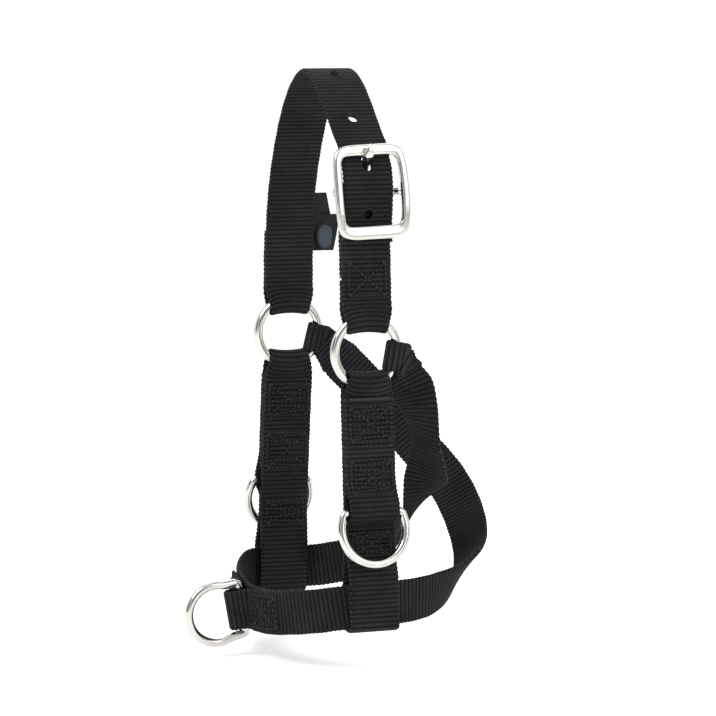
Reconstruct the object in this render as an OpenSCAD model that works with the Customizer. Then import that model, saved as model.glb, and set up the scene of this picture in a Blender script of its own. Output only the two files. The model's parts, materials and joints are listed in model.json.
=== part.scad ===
// Small nylon head halter: a crown strap with a centre-bar buckle, two cheek
// straps, and two nose straps that cross behind the jaw.
// The halter is shown as it sits on a head. The nose points to -Y, the
// animal's left side, which carries the buckle, is +X, and the origin is
// under the crown strap, where the head bears.

/* [Webbing] */
// Width of the crown, billet and cheek webbing
web_w = 19; // [18:0.5:20]
// Width of the nose webbing
nose_w = 16; // [14:0.5:16]
// Thickness of one layer of webbing
web_t = 1.9; // [1.7:0.1:2]

/* [Head space] */
// Half the distance between the two upper rings
ring_x = 39; // [38:0.5:41]
// Height of the ring centres below the crown
ring_drop = 98.5; // [97:0.5:100]
// Length of a cheek strap from its ring centre to the middle of the noseband
cheek_l = 90.5; // [89:0.5:92]
// Outward lean of the cheek straps
cheek_lean = 3.5; // [3:0.1:4]
// Lean of the right cheek strap towards the nose
right_forward = 1; // [0:0.5:3]
// Reach of the noseband in front of the cheek straps
nose_reach = 33.5; // [32:0.5:34]

/* [Hardware] */
// Outer diameter of an upper ring
ring_d = 27.5; // [26:0.5:28]
// Wire diameter of an upper ring
ring_wire = 3.3; // [3:0.1:3.6]
// Outer width of a side ring
side_ring_w = 28; // [27:0.5:29]
// Outer width of the lead ring
lead_ring_w = 24.5; // [24:0.5:26]
// Wire diameter of the side rings and the lead ring
d_wire = 3.2; // [2.8:0.1:3.4]
// Height of the buckle frame
buckle_h = 34; // [33:0.5:35]
// Width of the buckle frame
buckle_w = 26.5; // [26:0.25:27]
// Diameter of the buckle's centre bar
bar_d = 2.4; // [2:0.1:2.6]

/* [Holes] */
// Spacing of the punched holes
hole_pitch = 19; // [18:0.5:20]
// Diameter of a punched hole
hole_d = 4; // [3.6:0.1:4.4]

/* [Hidden] */
$fn = 64;
web_color = "#26262a";
metal_color = "#d8d4cc";
thread_color = "#17171a";
label_color = "#1d1e22";
patch_color = "#5a6672";

fit_gap = 0.25;
layer_gap = 0.3;
ring_r = (ring_d - ring_wire) / 2;
// Half the width that a strap keeps where it is bunched round a ring
bunch_half = 7;
nose_bunch_half = 5;
loop_fold_r = ring_wire / 2 + fit_gap + web_t / 2;
loop_r = sqrt(ring_r * ring_r - bunch_half * bunch_half);
nose_loop_r = sqrt(ring_r * ring_r - nose_bunch_half * nose_bunch_half);
cheek_x = ring_x + cheek_l * tan(cheek_lean);
nose_z = -ring_drop - cheek_l;
// Steps between the points that shape a sweep
sweep_steps = 6;
turn_steps = 9;
flap_steps = 5;
// Steps along the noseband that its inner end on the near side and its outer end on the
// far side reach
near_lap_count = 9;
far_lap_count = 6;

// Centre of the buckle's bar, and the lean of the billet below it
bar_x = ring_x - 2.5;
bar_z = -41.3;
billet_lean = atan((ring_x - bar_x) / (ring_drop - loop_r + bar_z));
frame_bar = 2.6;
frame_top = 4;
frame_bottom = 5;
frame_rail = 2.85;
frame_tilt = 4.5;
frame_out = 5;
// How far back the frame has slid on the webbing, and its turn in its own plane
frame_side = 0.4;
frame_roll = 2;
frame_mid = (buckle_h - frame_top / 2 - frame_bottom / 2) / 2;
tongue_w = 2.6;
tongue_t = 1.6;
tongue_slot = 5;
// Height above the bar at which the tongue passes through the crown strap
tongue_hole = 7.2;

// Crown route from the right ring over the poll: [x, z] of the middle of the webbing
crown_right = [[-39.95, -80], [-39.9, -70], [-38, -55], [-34, -41], [-28.2, -27],
    [-20.5, -14], [-11, -4]];
crown_top = [[0, 0.95], [10.5, -2.2], [19.8, -9.6], [28.5, -18.5]];
// Crown route through the buckle: [distance out from the bar, distance up from the bar]
crown_buckle = [[0.55, 15.5], [1.2, 11], [3.6, 5], [4.5, 0], [4, -5], [3.15, -10],
    [3.1, -16], [3.1, -21.5]];

// Layers of a cheek strap, as distances out from its ring plane
layer_in = -1.5 * web_t;
layer_mid = -web_t / 2;
layer_out = web_t / 2;
layer_skin = 1.5 * web_t;
bar_drop = 57.5;
pocket_r = d_wire / 2 + fit_gap + web_t;
pocket_x = layer_out + d_wire / 2 + fit_gap;
cut_end_drop = 16.5;
// Radius of a D-ring's bow, its distance below the bar, and half the bar's length
side_ring_r = (side_ring_w - d_wire) / 2;
side_ring_sink = 6.2;
side_ring_half = 11.3;
// Tilt of a side ring away from the cheek strap as it hangs
side_ring_tilt = 8;
lead_ring_r = (lead_ring_w - d_wire) / 2;
lead_ring_sink = 10;
lead_ring_half = 9.6;
bow_start = 22;
// Growth of a D-ring's corners over its wire, where it is bent and welded
corner_swell = 0.1;
// Slot of the lower loop, inward and outward of the middle of the cheek strap
slot_in = 3.2;
slot_out = 1.8;
slot_drop = cheek_l - nose_w / 2 - 0.3;
slot_end = slot_drop + nose_w + 0.6;

// Lead ring bar, and the fold of webbing round it
lead_y = -nose_reach;
lead_z = nose_z - 6.5;
// Lean of the lead ring's bar, top forward, as the ring hangs
lead_tilt = 10;
lead_fold_r = d_wire / 2 + fit_gap + web_t / 2;
lead_fold_reach = 2.2;
lead_fold_half = 7.3;

// How far forward the foot of the right cheek strap stands
right_shift = cheek_l * sin(right_forward);
// Nose strap routes: [x, y, z, then the direction of the width]. The right strap's are
// drawn on the left side and mirrored.
left_front = [[7.6, -31, -195.4, 0, 0, 1], [22, -27.8, -194.2, 0, 0, 1],
    [35.4, -19.4, -192, 0, 0, 1], [42.7, -9.5, -190, 0, 0, 1]];
left_back = [[cheek_x, 0, nose_z, 0, 0, 1], [44.3, 12, -188.9, 0.03, 0, 1],
    [39.5, 25.5, -188, 0.15, 0.05, 1], [30, 39.5, -184.5, 0.45, 0.25, 0.85],
    [16.5, 50.8, -176.5, 0.65, 0.5, 0.55], [1.5, 54.8, -165.5, 0.5, 0.75, 0.45],
    [-13, 53, -153, 0.3, 0.85, 0.45], [-25.5, 44.5, -139.5, 0.1, 0.8, 0.6],
    [-33.5, 33.5, -124, 0, 0.75, 0.65], [-36.4, 21.5, -111, 0, 0.55, 0.85]];
right_front = [[7.5, -28.5, -195.4, 0, 0, 1], [21, -26.8, -193, 0, 0, 1],
    [34.5, -21.1, -191, 0, 0, 1], [42.6, -13.5, -189, 0, 0, 1]];
right_back = [[cheek_x, -right_shift, nose_z, 0, 0, 1], [44.3, 8, -189.5, 0.03, 0, 1],
    [36.5, 20.5, -187, 0.2, 0.1, 1], [21, 27.5, -180, 0.2, 0.25, 0.95],
    [3, 31, -169.5, 0.05, 0.4, 0.9], [-13, 31.5, -157.5, -0.3, 0.6, 0.7],
    [-24.5, 30, -145, -0.75, 0.4, 0.35], [-31, 26.5, -131.5, -0.9, 0.2, 0],
    [-34.4, 22, -119, -0.7, 0.5, 0.25], [-35.6, 17.2, -108, 0, 0.6, 0.8]];
// Where the left and the right nose strap go round their upper rings, as angles forward of
// straight back
left_ring_angle = -14;
right_ring_angle = -10;

// Thread
thread_w = 0.7;
thread_t = 0.5;
thread_sink = 0.2;
label_low = -70.5;
label_high = -44.5;
label_t = 0.6;

function unit(v) = v / norm(v);
function turn(p, a) = [p[0] * cos(a) - p[1] * sin(a), p[0] * sin(a) + p[1] * cos(a)];
function arc(c, r, a0, a1) = [for (i = [0:turn_steps]) let (a = a0 + (a1 - a0) * i / turn_steps)
    c + r * [cos(a), sin(a)]];

// A smooth curve through a list of points of any size
function mix4(a, b, c, d, t) = 0.5 * (2 * b + (c - a) * t + (2 * a - 5 * b + 4 * c - d) * t * t
    + (3 * b - a - 3 * c + d) * t * t * t);
function smooth(p, n) = concat(
    [for (i = [0:len(p) - 2], k = [0:n - 1])
        mix4(i == 0 ? 2 * p[0] - p[1] : p[i - 1], p[i], p[i + 1],
            i == len(p) - 2 ? 2 * p[i + 1] - p[i] : p[i + 2], k / n)],
    [p[len(p) - 1]]);
function heading(p, i) = unit(p[min(i + 1, len(p) - 1)] - p[max(i - 1, 0)]);

// Outline of a strap of thickness t whose middle follows the flat route p
function strap_outline(p, t) = concat(
    [for (i = [0:len(p) - 1]) p[i] + turn(heading(p, i), 90) * t / 2],
    [for (i = [len(p) - 1:-1:0]) p[i] - turn(heading(p, i), 90) * t / 2]);

// Outline of a closed loop round a wire at the origin that draws in to w at height h
function loop_outline(r, w, h) = concat(arc([0, 0], r, 195, 345), [[r, h * 0.25], [w / 2, h],
    [-w / 2, h], [-r, h * 0.25]]);

// A flat strap profile, drawn as [outward, up], given the width of the webbing
module side_profile(width) {
    rotate([90, 0, 0])
        linear_extrude(height = width, center = true)
            children();
}

// Keeps a strap narrow where it is bunched round the upper ring at the origin
module bunched(far) {
    intersection() {
        children();
        rotate([90, 0, 90])
            linear_extrude(height = 60, center = true)
                polygon([[-bunch_half + 0.8, -loop_r + 7], [-bunch_half, -loop_r],
                    [-web_w / 2, -ring_r - 3], [-web_w / 2, -far], [web_w / 2, -far],
                    [web_w / 2, -ring_r - 3], [bunch_half, -loop_r], [bunch_half - 0.8, -loop_r + 7]]);
    }
}

// The end of a strap looped round an upper ring whose centre is the origin
module ring_loop(w, h) {
    translate([0, -loop_r])
        rotate(180)
            polygon(loop_outline(ring_wire / 2 + fit_gap + web_t, w, h));
}

module ring_hole() {
    hole_r = ring_wire / 2 + fit_gap;
    translate([0, -loop_r])
        circle(r = hole_r);
    translate([0, -ring_r])
        circle(r = hole_r);
    translate([-hole_r, -ring_r])
        square([2 * hole_r, ring_r - loop_r]);
}

module at_upper_ring(side) {
    translate([side * ring_x, 0, -ring_drop])
        children();
}

// Children are drawn for the left side, with +X outward, and leaned with the cheek strap
module at_cheek(side) {
    mirror([side < 0 ? 1 : 0, 0, 0])
        at_upper_ring(1)
            rotate([side < 0 ? -right_forward : 0, -cheek_lean, 0])
                children();
}

// Children are drawn with the buckle's bar at the origin, +X outward and +Z up the strap
module at_buckle() {
    translate([bar_x, 0, bar_z])
        rotate([0, -billet_lean, 0])
            children();
}

function from_buckle(p) = [bar_x, bar_z] + turn(p, billet_lean);

// Webbing swept along a route, with corners from its middle, thickness and widths
module ribbon(route, widths) {
    last = len(route) - 1;
    mid = [for (p = route) [p[0], p[1], p[2]]];
    ring = [for (i = [0:last]) let (
        t = heading(mid, i),
        w0 = [route[i][3], route[i][4], route[i][5]],
        w = unit(w0 - t * (w0 * t)) * widths[i] / 2,
        n = unit(cross(t, w)) * web_t / 2)
        [mid[i] + w + n, mid[i] - w + n, mid[i] - w - n, mid[i] + w - n]];
    polyhedron(
        points = [for (q = ring, c = q) c],
        faces = concat([[0, 1, 2, 3]],
            [for (i = [0:last - 1], k = [0:3]) let (a = 4 * i, b = (k + 1) % 4)
                [a + k, a + 4 + k, a + 4 + b]],
            [for (i = [0:last - 1], k = [0:3]) let (a = 4 * i, b = (k + 1) % 4)
                [a + k, a + 4 + b, a + b]],
            [[4 * last + 3, 4 * last + 2, 4 * last + 1, 4 * last]]),
        convexity = 10);
}

// Route of a nose strap from its last stretch, round an upper ring: in along the
// inner side of the wire, round it, and back along the outer side
function at_ring(side, q) = let (
    c = cos(side < 0 ? left_ring_angle : right_ring_angle),
    s = sin(side < 0 ? left_ring_angle : right_ring_angle))
    [side * (ring_x + q[1]), q[0] * c, -ring_drop + q[0] * s, 0, -s, c];
function with_ring_end(side, back) = let (
    start = at_ring(side, [nose_loop_r + 2.8, -loop_fold_r - fit_gap]),
    main = smooth(concat(back, [start]), sweep_steps),
    last = len(main) - 1,
    fold = [for (q = arc([nose_loop_r, 0], loop_fold_r, -90, -270)) at_ring(side, q)],
    flap = [for (i = [last:-1:last - flap_steps]) let (
        t = heading(main, i),
        w = [main[i][3], main[i][4], main[i][5]],
        n = unit(cross([t[0], t[1], t[2]], w)) * -side,
        d = max(web_t + layer_gap, 2 * loop_fold_r - 0.7 * norm(main[i] - main[last])))
        main[i] + [n[0] * d, n[1] * d, n[2] * d, 0, 0, 0]])
    concat(main, fold, flap);

// Share of the full width at each point of a route that ends round an upper ring
function ring_widths(route) = [for (p = route) let (d = norm([p[1], p[2] + ring_drop]))
    nose_w - 2 * (nose_w / 2 - nose_bunch_half) * max(0, min(1, (23 - d) / 8))];

function flip_x(route) = [for (p = route) [-p[0], p[1], p[2], -p[3], p[4], p[5]]];

// Where the webbing passes the lead ring's bar: a fold round the bar, drawn as
// [across, forward of the bar]
function at_lead(q) = [q[0], lead_y - q[1] * cos(lead_tilt), lead_z - q[1] * sin(lead_tilt),
    0, -sin(lead_tilt), cos(lead_tilt)];
lead_fold = [for (q = arc([0, lead_fold_reach], lead_fold_r, 180, 0)) at_lead(q)];

// A stretch of a dense route set off sideways by one layer of webbing
function lapped(route, from, to, side) = [for (i = [from:to]) let (
    t = heading(route, i),
    n = unit(cross([t[0], t[1], t[2]], [0, 0, 1])) * side * (web_t + layer_gap))
    [route[i][0] + n[0], route[i][1] + n[1], route[i][2], 0, 0, 1]];
function backward(route) = [for (i = [len(route) - 1:-1:0]) route[i]];

left_dense = smooth(left_front, sweep_steps);
right_dense = smooth(flip_x(right_front), sweep_steps);
// The left strap's lap on the far side, and the right strap's lap inside the near side
far_lap = lapped(right_dense, 1, far_lap_count, -1);
near_lap = lapped(left_dense, 1, near_lap_count, -1);
left_route = concat(backward(far_lap), [at_lead([-4.4, -1.5])], lead_fold,
    with_ring_end(-1, concat([at_lead([4.4, -1.5])], left_front, left_back)));
right_route = concat(backward(near_lap), [[0, lead_y + 4.4, lead_z, 0, 0, 1]],
    with_ring_end(1, concat([[-3, lead_y + 4.6, lead_z, 0, 0, 1]],
        flip_x(right_front), flip_x(right_back))));

// Share of the full width at each point of the left nose strap
left_widths = [for (i = [0:len(left_route) - 1]) let (p = left_route[i], w = ring_widths(left_route)[i])
    w - 2 * (nose_w / 2 - lead_fold_half) * max(0, min(1, (lead_y + 4 - p[1]) / 4))];

module webbing_hole(p) {
    translate([p[0], 0, p[1]])
        rotate([0, 90, 0])
            cylinder(d = hole_d, h = 30, center = true);
}

module crown_strap() {
    route = smooth(concat(crown_right, crown_top, [for (p = crown_buckle) from_buckle(p)]), sweep_steps);
    color(web_color)
    difference() {
        union() {
            side_profile(web_w)
                polygon(strap_outline(route, web_t));
            mirror([1, 0, 0])
                at_upper_ring(1)
                    rotate([180, 0, 0])
                        bunched(44)
                            side_profile(web_w)
                                ring_loop(2 * web_t, 8.5);
            mirror([1, 0, 0])
                at_upper_ring(1)
                    translate([-web_t, -web_w / 2, loop_r + 8.4])
                        cube([1.5 * web_t, web_w, 25]);
        }
        mirror([1, 0, 0])
            at_upper_ring(1)
                rotate([180, 0, 0])
                    side_profile(2 * web_w)
                        ring_hole();
        at_buckle() {
            translate([-8, -hole_d / 2, tongue_hole - 4.5])
                cube([16, hole_d, 9]);
            webbing_hole([0, -frame_mid + 7]);
        }
        translate([25.5, 0, -16.5])
            rotate([0, 48, 0])
                cylinder(d = hole_d, h = 12, center = true);
        translate([8, 0, -1])
            rotate([0, 20, 0])
                cylinder(d = hole_d, h = 12, center = true);
    }
}

module buckle_billet() {
    bar_hole = bar_d / 2 + fit_gap;
    length = (ring_drop - loop_r + bar_z) / cos(billet_lean);
    color(web_color)
    difference() {
        at_buckle()
            union() {
                side_profile(web_w)
                    rotate(180)
                        polygon(loop_outline(bar_hole + web_t, 2 * web_t, 8));
                translate([-web_t, -web_w / 2, -length + 8])
                    cube([2 * web_t, web_w, length - 15]);
                translate([0, 0, -length - loop_r])
                    rotate([180, 0, 0])
                        bunched(22)
                            side_profile(web_w)
                                ring_loop(2 * web_t, 8.5);
            }
        at_buckle() {
            rotate([90, 0, 0])
                cylinder(r = bar_hole, h = 2 * web_w, center = true);
            translate([0, -tongue_slot / 2, -4])
                cube([8, tongue_slot, 9]);
            translate([-4.5, -tongue_slot / 2, -3])
                cube([5, tongue_slot, 7]);
        }
        at_upper_ring(1)
            rotate([180, 0, 0])
                side_profile(2 * web_w)
                    ring_hole();
    }
}

// Children are drawn in the plane of the frame, with +X outward
module at_frame() {
    at_buckle()
        translate([frame_out, frame_side, 0])
            rotate([frame_roll, -frame_tilt, 0])
                children();
}

module rounded_plate(w, h, r, t) {
    rotate([90, 0, 90])
        linear_extrude(height = t, center = true)
            union() {
                square([w - 2 * r, h], center = true);
                square([w, h - 2 * r], center = true);
                for (x = [-1, 1], y = [-1, 1])
                    translate([x * (w / 2 - r), y * (h / 2 - r)])
                        circle(r = r);
            }
}

module buckle_frame() {
    open_w = buckle_w - 2 * frame_rail;
    open_h = buckle_h - frame_top - frame_bottom;
    color(metal_color) {
        at_frame()
            difference() {
                rounded_plate(buckle_w, buckle_h, 5, frame_bar);
                translate([0, 0, (frame_bottom - frame_top) / 2])
                    rounded_plate(open_w, open_h, 2.2, 2 * frame_bar);
            }
        at_buckle() {
            translate([0, frame_side, 0])
                rotate([90, 0, 0])
                    cylinder(d = bar_d, h = buckle_w - frame_rail, center = true);
            for (side = [-1, 1])
                translate([-bar_d / 2, frame_side + side * (buckle_w - frame_rail) / 2 - frame_rail / 2, -2])
                    cube([frame_out, frame_rail, 4]);
        }
    }
}

module buckle_tongue() {
    eye_in = bar_d / 2 + 0.1;
    tip = [frame_out - 1 + frame_bar / 2 + tongue_t, frame_mid + 2.4];
    color(metal_color)
    at_buckle()
        difference() {
            union() {
                rotate([90, 0, 0])
                    cylinder(r = eye_in + tongue_t, h = tongue_w + 0.8, center = true);
                side_profile(tongue_w)
                    polygon(strap_outline(smooth([[0.3, 2.2], [1.2, 5], [2.9, frame_mid - 6.5],
                        tip - [0.3, 5.2], tip], sweep_steps), tongue_t));
            }
            rotate([90, 0, 0])
                cylinder(r = eye_in, h = 2 * tongue_w, center = true);
        }
}

module upper_ring(side) {
    color(metal_color)
    at_upper_ring(side)
        rotate([0, 90, 0])
            rotate_extrude()
                translate([ring_r, 0])
                    circle(d = ring_wire);
}

// Outline of a cheek strap, seen from behind, as [outward, up] from its ring centre
cheek_outline = concat(
    arc([0, -loop_r], ring_wire / 2 + fit_gap + web_t, 0, 180),
    [[-3.8, -ring_r], [layer_in, -ring_r - 8], [layer_in, -64], [-slot_in - web_t, -slot_drop + 1]],
    [[-slot_in - web_t, -slot_end + 0.6], [-slot_in - 0.2, -slot_end - web_t + 0.4],
        [0, -slot_end - web_t]],
    [[slot_out + 0.2, -slot_end - web_t + 0.4], [slot_out + web_t, -slot_end + 0.6],
        [slot_out + web_t, -slot_drop + 1], [layer_out, -70], [layer_out, -bar_drop - pocket_r]],
    arc([pocket_x, -bar_drop], pocket_r, -90, 0),
    [[pocket_x + pocket_r - 0.6, -bar_drop + 4], [layer_skin + 0.5, -bar_drop + 9],
        [layer_skin, -bar_drop + 12], [layer_skin, -cut_end_drop],
        [layer_out, -cut_end_drop], [layer_out, -cut_end_drop + 0.2], [3.8, -ring_r]]);

module cheek_strap() {
    bar_hole = d_wire / 2 + fit_gap;
    color(web_color)
    difference() {
        bunched(cheek_l + 20)
            side_profile(web_w)
                difference() {
                    polygon(cheek_outline);
                    translate([-slot_in, -slot_end])
                        square([slot_in + slot_out, slot_end - slot_drop]);
                    polygon([[-slot_in, -slot_drop - 1], [slot_out, -slot_drop - 1],
                        [layer_mid + 1.1, -65], [layer_mid + 0.9, -65]]);
                    polygon([[pocket_x - bar_hole, -bar_drop], [pocket_x + bar_hole, -bar_drop],
                        [layer_out + 1, -bar_drop + 7.5], [layer_out + 0.6, -bar_drop + 7.5]]);
                }
        rotate([90, 0, 0])
            translate([pocket_x, -bar_drop, 0])
                cylinder(r = bar_hole, h = 2 * web_w, center = true);
        rotate([0, cheek_lean, 0])
            side_profile(2 * web_w)
                ring_hole();
        rotate([0, cheek_lean, 0])
            rotate([0, 90, 0])
                rotate_extrude()
                    translate([ring_r, 0])
                        circle(r = ring_wire / 2 + fit_gap);
    }
}

// A D-ring whose bar lies along Y through the origin and whose bow hangs down from it
module d_ring(half, r, sink) {
    shoulder = [r * cos(bow_start), r * sin(bow_start) - sink];
    side_l = norm(shoulder - [half, 0]);
    color(metal_color)
    union() {
        rotate([90, 0, 0])
            cylinder(d = d_wire, h = 2 * half, center = true);
        for (side = [-1, 1]) {
            translate([0, side * half, 0])
                sphere(d = d_wire + corner_swell);
            translate([0, side * half, 0])
                rotate([side * (180 - atan2(shoulder[0] - half, -shoulder[1])), 0, 0])
                    cylinder(d = d_wire, h = side_l);
            translate([0, side * shoulder[0], shoulder[1]])
                sphere(d = d_wire + corner_swell);
        }
        translate([0, 0, -sink])
            rotate([90, 0, 90])
                rotate([0, 0, 180 - bow_start])
                    rotate_extrude(angle = 180 + 2 * bow_start)
                        translate([r, 0])
                            circle(d = d_wire);
    }
}

module side_ring(side) {
    at_cheek(side)
        translate([pocket_x, 0, -bar_drop])
            rotate([0, -side_ring_tilt, 0])
                d_ring(side_ring_half, side_ring_r, side_ring_sink);
}

module lead_ring() {
    translate([0, lead_y, lead_z])
        rotate([lead_tilt - 90, 0, 0])
            d_ring(lead_ring_half, lead_ring_r, lead_ring_sink);
}

module left_nose_strap() {
    color(web_color)
        ribbon(left_route, left_widths);
}

module right_nose_strap() {
    color(web_color)
        ribbon(right_route, ring_widths(right_route));
}

// Webbing label, folded into two leaves that stand out behind the right crown leg
crown_dense = smooth(crown_right, sweep_steps);
label_route = [for (i = [0:len(crown_dense) - 1]) let (p = crown_dense[i])
    if (p[1] > label_low && p[1] < label_high)
        p + turn(heading(crown_dense, i), 90) * (web_t + label_t) / 2];

module label_leaf(y0, y1, from, to) {
    translate([0, (y0 + y1) / 2, 0])
        side_profile(y1 - y0)
            polygon(strap_outline([for (i = [from:to]) label_route[i]], label_t));
}

module label_tag() {
    last = len(label_route) - 1;
    color(label_color) {
        label_leaf(7.7, 15.5, ceil(last * 0.57), last);
        label_leaf(7.7, 19, 0, ceil(last * 0.57));
    }
}

// Children are drawn on the lower leaf of the label, with +X towards the head
module at_label(y) {
    mid = floor(len(label_route) * 0.3);
    t = heading(label_route, mid);
    translate([label_route[mid][0], y, label_route[mid][1]])
        rotate([0, 90 - atan2(t[1], t[0]), 0])
            children();
}

module label_patch() {
    color(patch_color)
        at_label(14.6)
            translate([label_t / 2 + 0.1, 0, 0])
                rounded_plate(7.6, 10.6, 3.6, 0.3);
}

// A run of thread of length l, standing along Z on a face that looks along +X
module thread_run(l) {
    translate([-thread_sink, -thread_w / 2, -l / 2])
        cube([thread_t, thread_w, l]);
}

// Box stitching, w across the webbing and h along it
module stitch_box(w, h) {
    union() {
        for (side = [-1, 1]) {
            translate([0, side * w / 2, 0])
                thread_run(h + thread_w);
            translate([0, 0, side * h / 2])
                rotate([90, 0, 0])
                    thread_run(w + thread_w);
            rotate([side * atan(w / h), 0, 0])
                thread_run(sqrt(w * w + h * h));
        }
    }
}

// Box stitching that shows on both faces of a lay-up between x0 and x1
module stitch_through(x0, x1, w, h) {
    translate([x1, 0, 0])
        stitch_box(w, h);
    translate([x0, 0, 0])
        mirror([1, 0, 0])
            stitch_box(w, h);
}

module crown_stitching() {
    color(thread_color)
        mirror([1, 0, 0])
            at_upper_ring(1)
                translate([0, 0, 26.5])
                    stitch_through(-web_t, web_t, 14, 13);
}

module billet_stitching() {
    color(thread_color)
        at_buckle()
            translate([0, 0, -31])
                stitch_through(-web_t, web_t, 14, 11);
}

module cheek_stitching(side, drop, x1, h) {
    color(thread_color)
        at_cheek(side)
            translate([0, 0, -drop])
                stitch_through(layer_in, x1, 14, h);
}

// Sewing of a nose strap's end, a few steps before its fold round the ring
module nose_end_stitching(route) {
    i = len(route) - turn_steps - flap_steps - 6;
    a = route[i];
    t = heading(route, i);
    head = unit([t[0], t[1], t[2]]);
    across = [a[3], a[4], a[5]];
    width = unit(across - head * (across * head));
    out = cross(width, head);
    color(thread_color)
        multmatrix([[out[0], width[0], head[0], a[0]], [out[1], width[1], head[1], a[1]],
            [out[2], width[2], head[2], a[2]]])
            thread_pair();
}

module thread_pair() {
    for (face = [0, 180])
        rotate([0, 0, face])
            translate([web_t / 2, 0, 0])
                stitch_box(8, 2.4);
}

module nose_lap_stitching() {
    mid = 5;
    t = heading(left_dense, mid);
    color(thread_color)
        translate([left_dense[mid][0], left_dense[mid][1], left_dense[mid][2]])
            rotate([0, 0, atan2(t[1], t[0]) - 90])
                stitch_through(-1.5 * web_t - layer_gap, web_t / 2, 8, 12);
}

module label_stitching() {
    color(thread_color)
        at_label(8.6)
            mirror([1, 0, 0])
                translate([label_t / 2, 0, 0])
                    thread_run(9);
}

crown_strap();
buckle_billet();
buckle_frame();
buckle_tongue();
upper_ring(1);  // left_upper_ring
upper_ring(-1);  // right_upper_ring
at_cheek(1) cheek_strap();  // left_cheek_strap
at_cheek(-1) cheek_strap();  // right_cheek_strap
side_ring(1);  // left_side_ring
side_ring(-1);  // right_side_ring
left_nose_strap();
right_nose_strap();
lead_ring();
label_tag();
label_patch();
crown_stitching();
billet_stitching();
cheek_stitching(1, 26, layer_skin, 11);  // left_cheek_top_stitching
cheek_stitching(1, 41, layer_skin, 8);  // left_cheek_pocket_stitching
cheek_stitching(1, 66, layer_out, 6);  // left_cheek_loop_stitching
cheek_stitching(-1, 26, layer_skin, 11);  // right_cheek_top_stitching
cheek_stitching(-1, 41, layer_skin, 8);  // right_cheek_pocket_stitching
cheek_stitching(-1, 66, layer_out, 6);  // right_cheek_loop_stitching
nose_end_stitching(left_route);  // left_nose_end_stitching
nose_end_stitching(right_route);  // right_nose_end_stitching
nose_lap_stitching();
label_stitching();
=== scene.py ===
"""Head halter of ribbed nylon webbing with nickel-plated hardware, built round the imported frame."""
import json
import math

import bpy
import numpy as np
from mathutils import Matrix, Vector


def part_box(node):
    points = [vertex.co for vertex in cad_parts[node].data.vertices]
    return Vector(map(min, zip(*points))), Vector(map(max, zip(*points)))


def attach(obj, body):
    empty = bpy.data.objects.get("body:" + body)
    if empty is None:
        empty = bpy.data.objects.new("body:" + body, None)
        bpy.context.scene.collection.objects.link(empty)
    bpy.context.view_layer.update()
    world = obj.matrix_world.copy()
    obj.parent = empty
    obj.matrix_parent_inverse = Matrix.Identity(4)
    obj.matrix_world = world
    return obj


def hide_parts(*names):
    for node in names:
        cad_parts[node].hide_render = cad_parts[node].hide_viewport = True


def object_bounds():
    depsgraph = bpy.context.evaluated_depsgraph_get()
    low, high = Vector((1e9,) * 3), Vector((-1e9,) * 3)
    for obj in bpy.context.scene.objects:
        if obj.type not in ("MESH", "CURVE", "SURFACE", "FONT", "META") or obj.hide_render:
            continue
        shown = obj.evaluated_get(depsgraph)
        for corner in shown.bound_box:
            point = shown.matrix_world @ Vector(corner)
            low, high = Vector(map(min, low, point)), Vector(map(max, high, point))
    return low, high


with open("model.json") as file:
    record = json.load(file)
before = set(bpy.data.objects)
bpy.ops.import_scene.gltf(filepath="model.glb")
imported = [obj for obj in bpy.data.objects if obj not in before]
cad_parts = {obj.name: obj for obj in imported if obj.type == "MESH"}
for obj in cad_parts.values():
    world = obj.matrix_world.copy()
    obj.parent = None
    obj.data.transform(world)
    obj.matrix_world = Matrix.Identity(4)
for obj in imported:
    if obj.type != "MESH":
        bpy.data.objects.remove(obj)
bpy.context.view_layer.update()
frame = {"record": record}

# Webbing, in metres
WEB_W = 0.019
NOSE_W = 0.016
WEB_T = 0.0019
PLY_T = 0.00182
RIB_PITCH = 0.00165
RIB_HEIGHT = 0.00030
RIB_ROUNDNESS = 0.7
RIB_EDGE_SHARE = 1.3
RIB_EDGE_LEVEL = 0.7
WAVE = 0.00007
EDGE_WANDER = 0.00005
MELT_L = 0.0009
MELT_THINNING = 0.28
RAGGED = 0.00022
ROWS_PER_RIB = 6
FACE_COLUMNS = 12
EDGE_COLUMNS = 4
GAP = 0.00025
LAYER_GAP = 0.0003

# Hardware, in metres
RING_WIRE = 0.0033
D_WIRE = 0.0032
BAR_D = 0.0024
FRAME_W = 0.0272
FRAME_H = 0.034
FRAME_RAIL = 0.00285
FRAME_TOP = 0.004
FRAME_BOTTOM = 0.005
FRAME_T = 0.0026
FRAME_OUT = 0.005
FRAME_SIDE = 0.0011
FRAME_ROLL = math.radians(2)
FRAME_TILT = math.radians(4.5)

# Places. The rings, the bar and the hinges come from the frame
joints = {j["name"]: j for j in frame["record"]["behaviour"]["joints"]}
ring_lo, ring_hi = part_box("left_upper_ring")
RING = (ring_lo + ring_hi) / 2
RING_R = (ring_hi.z - ring_lo.z - RING_WIRE) / 2
BAR = Vector(joints["tongue_pivot"]["pos_m"])
CHEEK_L = 0.0905
POCKET_DROP = 0.0575
CHEEK_LEAN = math.radians(3.5)
RIGHT_FORWARD = math.radians(1)
BUNCH_HALF = 0.007
NOSE_BUNCH_HALF = 0.005
SHOWN_BUNCH_HALF = 0.0077
SHOWN_NOSE_HALF = 0.0054
LOOP_R = math.sqrt(RING_R**2 - BUNCH_HALF**2)
NOSE_LOOP_R = math.sqrt(RING_R**2 - NOSE_BUNCH_HALF**2)
ARCH_REACH = 0.007
LOOP_FOLD_R = RING_WIRE / 2 + GAP + WEB_T / 2
CHEEK_X = RING.x + CHEEK_L * math.tan(CHEEK_LEAN)
NOSE_Z = RING.z - CHEEK_L
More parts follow.
